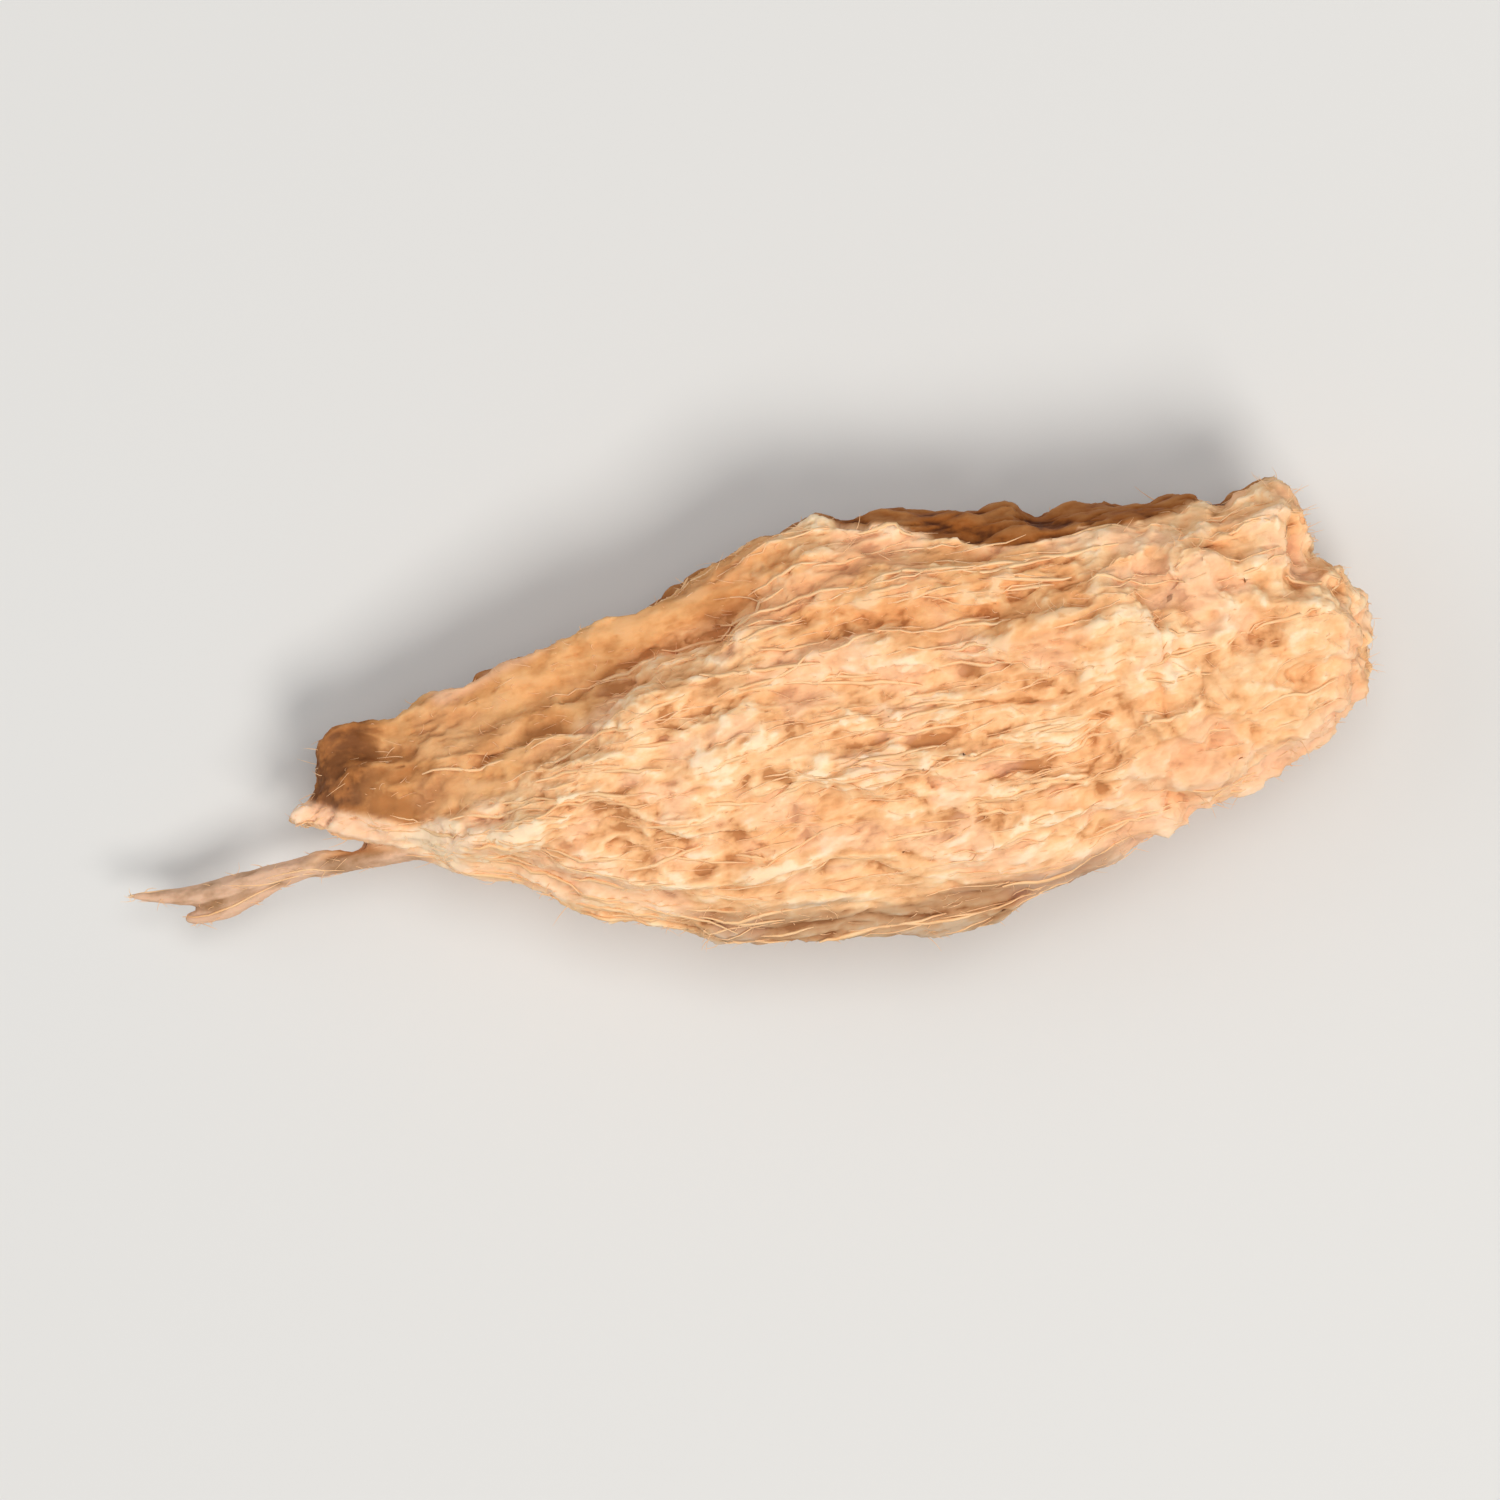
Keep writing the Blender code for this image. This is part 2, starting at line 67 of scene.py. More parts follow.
# Edge between the split face and the skin: x and height
SKIN_EDGE = [(-6.6, 1.00), (-5.4, 1.15), (-3.9, 1.30), (-2.5, 1.40), (-0.9, 1.60), (0.6, 1.90),
             (1.4, 2.30), (2.1, 2.52), (3.0, 2.68), (3.6, 2.76), (4.3, 2.78), (5.2, 2.74),
             (6.1, 2.58), (7.0, 1.90), (8.7, 1.50)]

# Edge between the skin and the flat cut underneath: x and y, as in the lines that follow
SKIN_FOOT = [(-6.6, -0.05), (-5.6, 0.14), (-3.6, 0.40), (-1.0, 0.62), (0.5, 0.70), (4.2, 0.58),
             (8.7, 0.40)]

# Line between the sunken left part of the face and its main part
LEDGE_LINE = [(-5.3, -1.0), (-3.75, -0.52), (-3.1, -0.05), (-2.3, 0.32), (-1.6, 1.02), (-0.5, 1.28),
              (0.7, 1.75), (1.6, 2.6)]

# Crest of the smooth near rim, along which the flesh is lightened as a painted highlight
RIM_LINE = [(-5.9, -0.42), (-4.1, -1.30), (-3.3, -1.72), (-2.1, -2.20), (-0.9, -2.50), (0.3, -2.68),
            (1.6, -2.78), (2.8, -2.95), (3.6, -2.90), (4.4, -2.66)]

# Fine cracks, seams and soft hollows: a line, its half width and its depth; the flesh is also darkened in
# them as painted shade
CRACKS = [
    ([(2.20, -1.37), (3.00, -1.43), (3.60, -1.36), (4.35, -1.38)], 0.08, 0.08),
    ([(4.74, -0.86), (4.62, -1.10), (4.50, -1.42)], 0.12, 0.08),
    ([(5.95, 1.50), (5.78, 1.10), (5.90, 0.70), (5.80, 0.30)], 0.09, 0.05),
    ([(6.42, 1.32), (6.68, 1.20), (6.98, 1.00)], 0.10, 0.09),
    ([(5.96, 0.05), (6.00, -0.20), (6.08, -0.40)], 0.10, 0.10),
    ([(6.30, -0.38), (6.19, -0.60), (6.16, -0.86), (6.21, -1.04)], 0.13, 0.13),
    ([(6.85, -0.20), (6.95, -0.28)], 0.10, 0.02),
    ([(7.75, 0.60), (7.85, 0.05), (7.70, -0.50)], 0.09, 0.05),
    ([(7.45, 0.96), (7.70, 0.90)], 0.10, 0.07),
    ([(-4.05, 0.18), (-3.70, 0.27), (-3.20, 0.46), (-2.80, 0.42), (-2.40, 0.34)], 0.07, 0.10),
    ([(-2.6, 0.80), (-2.0, 1.02), (-1.3, 1.22)], 0.05, 0.08),
    ([(-1.3, -2.72), (0.0, -3.00), (1.1, -3.12), (2.3, -3.20), (3.2, -3.16)], 0.05, 0.09),
    ([(-0.62, 1.36), (-0.30, 1.12)], 0.17, 0.06),
    ([(-1.00, 1.32), (-0.70, 1.22)], 0.13, 0.05),
    ([(-0.62, 0.92), (-0.20, 0.84)], 0.07, 0.06),
    ([(3.20, 0.92), (3.46, 0.76)], 0.13, 0.05),
    ([(3.75, 1.12), (4.00, 1.02)], 0.09, 0.07),
    ([(1.05, 1.28), (1.45, 0.95)], 0.08, 0.06),
    ([(2.00, -0.24), (2.80, -0.30), (3.60, -0.45), (4.20, -0.56)], 0.06, 0.06),
    ([(-0.35, -0.60), (0.18, -0.86)], 0.13, 0.08),
    ([(2.05, -0.72), (2.40, -0.78)], 0.10, 0.06),
    ([(-1.80, -0.52), (-1.45, -0.66)], 0.16, 0.08),
    ([(-1.70, -1.38), (-1.38, -1.60)], 0.11, 0.08),
    ([(0.00, -1.72), (0.22, -1.45)], 0.13, 0.08),
    ([(-0.60, -1.45), (-0.48, -1.75)], 0.12, 0.05),
]

# Grooves and pits of the solid that are partly filled with flesh
FILLED_GROOVES = [
    [(1.9, -1.42), (2.6, -1.33), (3.5, -1.36), (4.5, -1.26)],
    [(4.84, -0.80), (4.64, -1.02), (4.58, -1.35)],
    [(6.75, 1.00), (6.92, 0.72), (7.02, 0.50), (7.20, 0.25)],
    [(7.12, 0.00), (7.14, -0.38)],
    [(6.88, -0.22), (6.97, -0.32)],
    [(7.38, -0.22), (7.40, -0.34)],
    [(-1.00, 0.28), (-0.60, 0.36), (-0.20, 0.44), (0.30, 0.42)],
]

# Band along the left end of the near rim, and the painted light added to it at places along X
TIP_BAND = [(-6.6, -0.02), (-6.1, -0.34), (-5.5, -0.58), (-4.9, -0.82), (-4.3, -1.08), (-3.6, -1.46),
            (-2.9, -1.80)]
BAND_PAINTED_LIGHT = [(-6.0, 0.00), (-5.4, 0.08), (-5.0, 0.65), (-4.6, 0.65), (-4.3, 0.20), (-3.4, 0.10)]

# Duller strip of the sunken part just above that band
DULL_STRIP = [(-5.45, -0.24), (-5.20, -0.36), (-4.92, -0.44), (-4.72, -0.15), (-4.55, 0.05)]

# Pink edges: at the right end of the near side, and at the left end of the far side, where the lighter
# pink is a painted highlight along the sunken part's upper edge
PINK_EDGE = [(3.4, -3.2), (4.6, -2.8), (5.8, -2.4), (7.2, -2.1), (8.3, -1.4)]
FAR_EDGE_HIGHLIGHT = [(-4.3, 1.20), (-3.6, 1.42), (-3.0, 1.58), (-2.4, 1.85)]

# Middle of the warmer, more amber part of the face
AMBER_LINE = [(0.4, 1.75), (1.4, 1.60), (2.6, 1.20), (3.6, 1.05), (4.3, 0.90)]

# Upper edge of the broken side under the near rim, which is darkened with painted shade
WALL_LINE = [(-3.0, -2.12), (-2.0, -2.40), (-1.0, -2.58), (0.2, -2.72), (1.5, -2.86), (2.6, -2.94),
             (3.5, -2.86), (4.6, -2.66)]

# Root of the tail under the left tip
TAIL_STRIP = [(-4.7, -1.12), (-5.2, -1.04), (-5.8, -0.98), (-6.4, -0.95)]

# Line left of which the steep left end shows brown: y and x
BROWN_END = [(-0.15, -5.72), (0.20, -5.60), (0.60, -5.50), (1.00, -5.36)]

# Places where the outline is drawn out past the solid: their middle, shift and reach
PULLS = [((-5.69, 0.52), (-0.28, 0.36), 0.85), ((7.85, 0.95), (0.22, 0.06), 0.40),
         ((7.70, 1.70), (0.10, 0.18), 0.70), ((7.70, -1.65), (0.05, -0.13), 0.80)]

# Places along X where the torn end starts and where the tail leaves the body
TORN_START = 4.7 * MM
TAIL_ROOT = -6.3 * MM

# Height of the face, where the camera frames its view width, and height under which cracks
# and fillings leave the sides as they are
FACE_HEIGHT = 2.2 * MM
FACE_BOTTOM = 1.3 * MM

# Flesh that fills a groove, and how far all of the flesh is set back under its relief
FILL_HEIGHT = 0.09 * MM
FLESH_DROP = 0.03 * MM

# Heights that take the flesh through its whole range of painted shade and highlight: of fine
# and of broad relief, and of cracks
FINE_RELIEF = 0.11 * MM
BROAD_RELIEF = 0.90 * MM
CRACK_SHADE = 0.50 * MM

# Share of the skin's brown that the steep left end takes
BROWN_SHARE = 0.72

# Zones that the materials and the loose fibres read from the surface
STORED_ZONES = ("skin", "torn", "sunken", "tail", "wall", "amber", "pink_and_highlight")

# Slices across the chip in which its outline is measured, and steps along a loose fibre
SLICES = 39
FIBRE_STEPS = 8


class ChipSurfaceSettings(PropertyGroup):
    spacing: FloatProperty(name="Point spacing",
                           description="Distance between surface points across the grain",
                           default=0.0415 * MM, precision=6, unit="LENGTH")
    squeeze: FloatProperty(name="Grain squeeze",
                           description="Points along the grain for each point across it",
                           default=0.5, subtype="FACTOR")
    swell: FloatProperty(name="Swell", description="Height of the broad, drawn out humps",
                         default=0.07 * MM, precision=6, unit="LENGTH")
    tatter: FloatProperty(name="Tatter", description="Height of the torn, flaky fibres",
                          default=0.044 * MM, precision=6, unit="LENGTH")
    strands: FloatProperty(name="Strands", description="Height of the narrow strands",
                           default=0.030 * MM, precision=6, unit="LENGTH")
    grit: FloatProperty(name="Grit", description="Height of the finest roughness",
                        default=0.018 * MM, precision=6, unit="LENGTH")
    pits: FloatProperty(name="Pits", description="Depth of the pits between the fibres",
                        default=0.048 * MM, precision=6, unit="LENGTH")
    crumbs: FloatProperty(name="Crumbs", description="Height of the crumbs on the torn end",
                          default=0.095 * MM, precision=6, unit="LENGTH")
    wrinkles: FloatProperty(name="Skin wrinkles", description="Height of the wrinkles in the skin",
                            default=0.05 * MM, precision=6, unit="LENGTH")


class ChipFibreSettings(PropertyGroup):
    count: IntProperty(name="Fibres", description="Loose fibres on the broken faces", default=440)
    radius: FloatProperty(name="Fibre radius", description="Radius of a loose fibre at its middle",
                          default=0.024 * MM, precision=6, unit="LENGTH")
    nap_count: IntProperty(name="Nap hairs", description="Short hairs of the nap", default=3800)
    nap_radius: FloatProperty(name="Nap radius", description="Radius of a nap hair at its root",
                              default=0.0055 * MM, precision=6, unit="LENGTH")
    nap_length: FloatProperty(name="Nap length", description="Mean length of a nap hair",
                              default=0.14 * MM, precision=6, unit="LENGTH")
    seed: IntProperty(name="Seed", description="Start of the random draws", default=7)


class ChipColourSettings(PropertyGroup):
    # Colours along the flesh's ramp: the pit and groove ends are painted shade, the crest end a painted
    # highlight
    crest_highlight: FloatVectorProperty(name="Crest", description="Highest threads of the flesh", subtype="COLOR",
                               size=4, default=(1.0, 0.75, 0.50, 1.0))
    cream: FloatVectorProperty(name="Cream", description="Raised fibres", subtype="COLOR",
                               size=4, default=(0.96, 0.62, 0.34, 1.0))
    flesh: FloatVectorProperty(name="Flesh", description="Broken flesh at its middle height",
                               subtype="COLOR", size=4, default=(0.88, 0.49, 0.235, 1.0))
    groove_shade: FloatVectorProperty(name="Groove", description="Grooves between the fibres", subtype="COLOR",
                                size=4, default=(0.73, 0.375, 0.165, 1.0))
    pit_shade: FloatVectorProperty(name="Deep", description="Bottom of the pits", subtype="COLOR",
                              size=4, default=(0.54, 0.235, 0.088, 1.0))
    # Ends of the sunken part's ramp: painted highlight on its crests, painted shade in its grooves
    tan_crest_highlight: FloatVectorProperty(name="Light tan", description="Crests of the sunken left part",
                                   subtype="COLOR", size=4, default=(0.75, 0.375, 0.140, 1.0))
    tan: FloatVectorProperty(name="Tan", description="Sunken left part of the face", subtype="COLOR",
                             size=4, default=(0.62, 0.270, 0.086, 1.0))
    tan_groove_shade: FloatVectorProperty(name="Dark tan", description="Grooves of the sunken left part",
                                  subtype="COLOR", size=4, default=(0.48, 0.192, 0.058, 1.0))
    # The flesh's own pink, which on the far edge is also a painted highlight
    pink_and_highlight: FloatVectorProperty(name="Pink", description="Pinkish patches", subtype="COLOR",
                              size=4, default=(0.97, 0.61, 0.435, 1.0))
    tail: FloatVectorProperty(name="Tail", description="Straw coloured tail", subtype="COLOR",
                              size=4, default=(0.71, 0.450, 0.300, 1.0))
    # Darker tail colour: painted shade in the tail's grooves
    tail_groove_shade: FloatVectorProperty(name="Dark tail", description="Grooves of the tail", subtype="COLOR",
                                   size=4, default=(0.36, 0.195, 0.095, 1.0))
    amber: FloatVectorProperty(name="Amber", description="Tint of the warmer upper face", subtype="COLOR",
                               size=4, default=(0.92, 0.79, 0.66, 1.0))
    # Painted shade multiplied onto the side under the near rim
    wall: FloatVectorProperty(name="Wall", description="Tint of the side under the near rim",
                              subtype="COLOR", size=4, default=(0.57, 0.555, 0.57, 1.0))
    skin: FloatVectorProperty(name="Skin", description="Reddish brown skin", subtype="COLOR",
                              size=4, default=(0.32, 0.095, 0.014, 1.0))
    # Ends of the skin's ramp: painted shade in its folds, painted highlight on its crests
    skin_fold_shade: FloatVectorProperty(name="Dark skin", description="Folds of the skin", subtype="COLOR",
                                   size=4, default=(0.10, 0.024, 0.004, 1.0))
    skin_crest_highlight: FloatVectorProperty(name="Light skin", description="Rubbed crests of the skin",
                                    subtype="COLOR", size=4, default=(0.45, 0.185, 0.055, 1.0))


class ChipStageSettings(PropertyGroup):
    floor: FloatVectorProperty(name="Floor", description="Colour of the floor", subtype="COLOR",
                               size=4, default=(0.70, 0.695, 0.68, 1.0))
    view_width: FloatProperty(name="View width", description="Width that the camera frames at the chip",
                              default=21.0 * MM, precision=6, unit="LENGTH")
    view_height: FloatProperty(name="Camera height", description="Height of the camera over the floor",
                               default=0.22, unit="LENGTH")
    roll: FloatProperty(name="Roll", description="Tilt of the chip's grain in the picture",
                        default=math.radians(11.0), subtype="ANGLE")
    key: FloatProperty(name="Key light", description="Power of the main light",
                       default=0.365, unit="POWER")
    fill: FloatProperty(name="Fill light", description="Power of the fill light",
                        default=0.12, unit="POWER")
    top: FloatProperty(name="Top light", description="Power of the light from above",
                       default=0.20, unit="POWER")


def select_only(piece):
    bpy.ops.object.select_all(action="DESELECT")
    piece.select_set(True)
    bpy.context.view_layer.objects.active = piece


def apply_modifier(piece, kind, **values):
    modifier = piece.modifiers.new(kind.lower(), kind)
    for name, value in values.items():
        setattr(modifier, name, value)
    bpy.ops.object.modifier_apply(modifier=modifier.name)


def rescale(piece, scale):
    piece.scale = scale
    bpy.ops.object.transform_apply(location=False, rotation=False, scale=True)


def merged_copy(name):
    """A copy of the frame's solid whose loose triangles are joined."""
    piece = bpy.data.objects.new(name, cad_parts[CHIP_NODE].data.copy())
    bpy.context.scene.collection.objects.link(piece)
    piece.data.materials.clear()
    select_only(piece)
    bpy.ops.object.mode_set(mode="EDIT")
    bpy.ops.mesh.select_all(action="SELECT")
    bpy.ops.mesh.remove_doubles(threshold=MERGE_DISTANCE)
    bpy.ops.object.mode_set(mode="OBJECT")
    return piece


def refine(piece, spacing, squeeze):
    """Even, dense faces, worked at a thousand times the size and drawn out along the grain."""
    rescale(piece, (squeeze / MM, 1 / MM, 1 / MM))
    apply_modifier(piece, "REMESH", mode="VOXEL", voxel_size=spacing / MM)
    apply_modifier(piece, "SMOOTH", factor=0.5, iterations=6)
    rescale(piece, (MM / squeeze, MM, MM))


def points_of(mesh):
    values = np.empty(len(mesh.vertices) * 3, np.float32)
    mesh.vertices.foreach_get("co", values)
    return values.reshape(-1, 3).astype(float)


def normals_of(mesh):
    values = np.empty(len(mesh.vertices) * 3, np.float32)
    mesh.vertex_normals.foreach_get("vector", values)
    return values.reshape(-1, 3).astype(float)


def set_points(mesh, points):
    mesh.vertices.foreach_set("co", points.astype(np.float32).ravel())
    mesh.update()


def store(mesh, name, values):
    layer = mesh.attributes.new(name, "FLOAT", "POINT")
    layer.data.foreach_set("value", values.astype(np.float32))


def smooth_step(value, low, high):
    t = np.clip((value - low) / (high - low), 0.0, 1.0)
    return t * t * (3 - 2 * t)


def smooth_mm(value, low, high):
    """Smooth step of a length between two lengths in millimetres."""
    return smooth_step(value, low * MM, high * MM)


def design_places(points):
    """x and y of the points in the chip's design."""
    return points[:, 0] + DESIGN_MIDDLE[0], points[:, 1] + DESIGN_MIDDLE[1]


def pull_outline(piece):
    """Draw the outline out at a few places, at all heights alike."""
    points = points_of(piece.data)
    x, y = design_places(points)
    for middle, shift, reach in PULLS:
        gap = np.hypot(x - middle[0] * MM, y - middle[1] * MM)
        points[:, :2] += (1 - smooth_mm(gap, 0.0, reach))[:, None] * np.array(shift) * MM
    set_points(piece.data, points)


def field(points, size, octaves=1, start=0):
    """Noise of about -1 to 1 with features of this size along x, y and z, in millimetres."""
    scaled = ((points + start * MM) / (np.array(size) * MM)).tolist()
    if octaves == 1:
        return 2.0 * np.array([noise.noise(place) for place in scaled])
    return 1.6 * np.array([noise.fractal(place, 0.7, 2.0, octaves) for place in scaled])


def billow(values):
    """Round ridges with narrow grooves between them, from 0 to 1."""
    return np.minimum(np.abs(values) * 1.5, 1.0) ** 0.75


def ragged_pits(points, size, start):
    """1 at the bottom of scattered, ragged pits and 0 outside them."""
    return smooth_step(-field(points, size, 3, start), 0.40, 1.05)


def line_distance(x, y, line):
    """Distance in plan to a line of the design, positive on its side towards +Y."""
    best = np.full(len(x), np.inf)
    signed = np.zeros(len(x))
    for (x0, y0), (x1, y1) in zip(line[:-1], line[1:]):
        run, rise = (x1 - x0) * MM, (y1 - y0) * MM
        t = np.clip(((x - x0 * MM) * run + (y - y0 * MM) * rise) / (run**2 + rise**2), 0.0, 1.0)
        gap_x, gap_y = x - x0 * MM - t * run, y - y0 * MM - t * rise
        gap = np.hypot(gap_x, gap_y)
        nearer = gap < best
        signed = np.where(nearer, gap * np.sign(run * (y - y0 * MM) - rise * (x - x0 * MM)), signed)
        best = np.where(nearer, gap, best)
    return signed


def near_line(x, y, line, inner, outer):
    """1 within the inner distance of a line in plan, falling to 0 at the outer one."""
    return 1 - smooth_mm(np.abs(line_distance(x, y, line)), inner, outer)


def line_level(where, line):
    """Second coordinate of a line at these places along its first coordinate."""
    first, second = np.array(line).T * MM
    return np.interp(where, first, second)


def skin_zone(x, y, z, normals, fray):
    """1 on the far side under the edge of the face, left of the torn end and off the flat cut."""
    below_edge = line_level(x, SKIN_EDGE) + fray - z
    beyond_foot = y - line_level(x, SKIN_FOOT) + fray
    faces_far = normals[:, 1] - 0.12 + 2.0 * fray / MM
    cut = smooth_step(-normals[:, 2], 0.93, 0.99) * (z < 0.03 * MM)
    end = smooth_mm(x + 2.0 * fray, 7.50, 7.70)
    return (smooth_mm(below_edge, -0.03, 0.03) * smooth_mm(beyond_foot, -0.03, 0.03)
            * smooth_step(faces_far, -0.05, 0.05) * (1 - cut) * (1 - end))


def brown_zone(x, y, skin, fray):
    """1 on the steep left end above the bright band."""
    above_band = smooth_mm(y - line_level(x, TIP_BAND), 0.16, 0.26)
    left_of_end = line_level(y, BROWN_END) + 0.7 * fray - x
    return smooth_mm(left_of_end, -0.26, 0.18) * above_band * (x > -6.5 * MM) * (1 - skin)


def band_zone(x, y, z):
    """1 on the band at the left tip that is given painted light, which widens to the right."""
    widening = 0.18 * MM * smooth_mm(x, -5.1, -4.6)
    gap = np.abs(line_distance(x, y, TIP_BAND)) - widening
    return (1 - smooth_mm(gap, 0.12, 0.28)) * (z > 1.1 * MM)


def sunken_zone(x, y, normals, band, tail):
    """1 on the sunken left part of the face, fading out to the right."""
    past_ledge = smooth_mm(line_distance(x, y, LEDGE_LINE), -0.05, 0.30)
    left = 1 - smooth_mm(x, -0.4, 1.4)
    return past_ledge * (1 - band) * left * (1 - tail) * (normals[:, 2] > -0.2)


def wall_zone(x, y, skin, fray):
    """1 on the broken side under the near rim, fading out at both ends: for its relief and its painted
    shade.
    """
    down_wall = -line_distance(x, y, WALL_LINE) + fray
    return (smooth_mm(down_wall, -0.08, 0.12) * smooth_mm(x, -1.9, -0.9)
            * (1 - smooth_mm(x, 4.2, 5.2)) * (1 - skin))


def amber_zone(points, x, y):
    """1 along the warmer upper part of the face, and less on scattered patches."""
    patches = smooth_step(field(points, (1.8, 1.2, 1.2), 2, start=8), 0.0, 0.5)
    amber = near_line(x, y, AMBER_LINE, 0.30, 1.00) + 0.4 * patches
    return (x > -2.0 * MM) * np.clip(amber, 0.0, 1.0)


def pink_zone(points, x, y, band, sunken):
    """1 on the pinkish edges and the left tip, and less on scattered patches; on the far edge the pink is
    a painted highlight.
    """
    patches = smooth_step(field(points, (1.5, 0.9, 0.9), 3), 0.0, 0.5)
    tip = 1 - smooth_mm(x, -5.5, -4.9)
    pink_and_highlight = (0.8 * near_line(x, y, FAR_EDGE_HIGHLIGHT, 0.06, 0.24) + 0.9 * band * tip
            + 0.7 * near_line(x, y, PINK_EDGE, 0.15, 0.45) + 0.6 * (1 - 0.8 * sunken) * patches)
    return np.clip(pink_and_highlight, 0.0, 1.0)


def zones(points, normals):
    """How far each point belongs to each part of the surface, from 0 to 1."""
    x, y = design_places(points)
    z = points[:, 2]
    fray = 0.10 * MM * field(points, (0.9, 0.3, 0.3), 3)
    skin = skin_zone(x, y, z, normals, fray)
    brown = brown_zone(x, y, skin, fray)
    skin = np.maximum(skin, BROWN_SHARE * brown)
    tail = (1 - smooth_step(x, TAIL_ROOT - 0.5 * MM, TAIL_ROOT + 0.3 * MM)) * (y < -0.5 * MM)
    band = band_zone(x, y, z)
    strip = near_line(x, y, TAIL_STRIP, 0.14, 0.26) * (z < 1.5 * MM) * (1 - band)
    sunken = sunken_zone(x, y, normals, band, tail)
    return {
        "skin": skin * (1 - tail),
        "torn": smooth_step(x, TORN_START - 0.1 * MM, TORN_START + 0.7 * MM) * (1 - skin),
        "sunken": sunken,
        "rim": near_line(x, y, RIM_LINE, 0.15, 0.45) * (z > 1.2 * MM),
        "tail": np.maximum(tail, strip),
        "band": band,
        "brown": brown,
        "wall": wall_zone(x, y, skin, fray),
        "amber": amber_zone(points, x, y),
        "pink_and_highlight": pink_zone(points, x, y, band, sunken),
    }


def outline_slices(points):
    """Middles of even slices across the chip, and the lowest and highest y in each."""
    edges = np.linspace(points[:, 0].min(), points[:, 0].max(), SLICES + 1)
    which = np.digitize(points[:, 0], edges[1:-1])
    low = np.array([points[which == k, 1].min() for k in range(SLICES)])
    high = np.array([points[which == k, 1].max() for k in range(SLICES)])
    return 0.5 * (edges[:-1] + edges[1:]), low, high


def grain_places(points):
    """The points in a space whose x runs along the fibres, which draw together at the left tip."""
    centres, low, high = outline_slices(points)
    half = 0.5 * (high - low)
    middle_here = np.interp(points[:, 0], centres, 0.5 * (low + high))
    half_here = np.interp(points[:, 0], centres, half)
    gather = np.clip(half_here / half.max(), 0.3, 1.0) ** 0.55
    wander = field(points, (2.4, 1.7, 1.7))
    sway = field(points, (1.1, 0.7, 0.7), start=9)
    across = (points[:, 1] - 0.8 * middle_here) / gather + (0.20 * wander + 0.07 * sway) * MM
    up = points[:, 2] / gather + (0.16 * wander - 0.06 * sway) * MM
    return np.stack([points[:, 0], across, up], axis=1)


def fibrous_height(grain, settings, wall):
    """Torn, flaky fibres with narrow strands among them, and long streaks on the wall."""
    tatter = field(grain, (0.41, 0.24, 0.24), 3, start=3)
    strands = billow(field(grain, (1.1, 0.13, 0.13), start=5))
    streaks = billow(field(grain, (2.6, 0.20, 0.20), 2, start=15))
    where_strands = smooth_step(field(grain, (1.3, 0.6, 0.6), 2, start=11), -0.35, 0.35)
    return (settings.tatter * tatter * (1 - 0.4 * wall)
            + settings.strands * (strands - 0.6) * where_strands
            + 1.8 * settings.strands * (streaks - 0.6) * wall)


def crumbly_height(points, settings, sunken):
    """Lumps with crumbs on them."""
    lumps = billow(field(points, (0.60, 1.25, 0.90), 2, start=2))
    crumbs = field(points, (0.22, 0.24, 0.24), 3, start=4)
    return (settings.crumbs * (0.8 * lumps - 0.5) * (1 - 0.6 * sunken)
            + 0.40 * settings.crumbs * crumbs)


def flesh_height(grain, points, settings, zone):
    """Relief of the broken flesh: fibrous on the face, crumbly at the torn end, with pits."""
    end, sunken, wall = zone["torn"], zone["sunken"], zone["wall"]
    swell = field(grain, (1.7, 0.75, 0.75), 2) + 0.35 * field(points, (0.8, 0.6, 0.6))
    swell += 0.6 * end * field(points, (0.9, 1.0, 1.0), start=21)
    grit = field(points, (0.13, 0.08, 0.08), 2, start=6)
    torn = np.clip(0.22 + 0.70 * end + 0.50 * sunken, 0.0, 1.0) * (1 - 0.8 * wall)
    calm = 1 - 0.4 * zone["rim"] - 0.2 * sunken
    pits = ragged_pits(grain, (0.50, 0.24, 0.24), start=19)
    pits *= calm * (1 - 0.75 * end) * (1 - 0.6 * wall)
    height = calm * (settings.swell * swell + fibrous_height(grain, settings, wall) * (1 - torn)
                     + crumbly_height(points, settings, sunken) * torn + settings.grit * grit)
    return height + fill_height(points) - settings.pits * pits - crack_depth(points) - FLESH_DROP


def fill_height(points):
    """Height of the flesh that partly fills some of the solid's grooves."""
    x, y = design_places(points)
    near = np.max([near_line(x, y, line, 0.03, 0.20) for line in FILLED_GROOVES], axis=0)
    return FILL_HEIGHT * near * (points[:, 2] > FACE_BOTTOM)


def crack_depth(points):
    """Depth of the cracks, seams and hollows of the face, which are fainter in places."""
    x, y = design_places(points)
    waver = 0.05 * MM * field(points, (0.45, 0.45, 0.45), 2)
    strength = 0.5 + 0.5 * smooth_step(field(points, (0.9, 0.9, 0.9), start=13), -0.9, 0.1)
    depth = np.zeros(len(points))
    for line, half_width, fall in CRACKS:
        gap = np.abs(line_distance(x, y, line) + waver)
        depth = np.maximum(depth, fall * MM * strength * np.exp(-(gap / (half_width * MM)) ** 2))
    return depth * (points[:, 2] > FACE_BOTTOM)


def skin_height(grain, points, settings):
    """Relief of the wrinkled skin, with fine rings across it and flaked patches."""
    folds = field(grain, (2.4, 0.42, 0.42), 2, start=6)
    creases = billow(field(grain, (1.9, 0.22, 0.22), 2, start=8))
    rings = field(points, (0.22, 2.6, 2.6), 2, start=1)
    flakes = smooth_step(field(points, (0.7, 0.5, 0.5), 2, start=7), 0.12, 0.22)
    grit = field(points, (0.14, 0.09, 0.09), 2, start=6)
    return settings.wrinkles * (0.8 * folds + 1.1 * (creases - 0.7) + 0.22 * rings
                                + 0.4 * flakes + 0.2 * grit - 0.4)


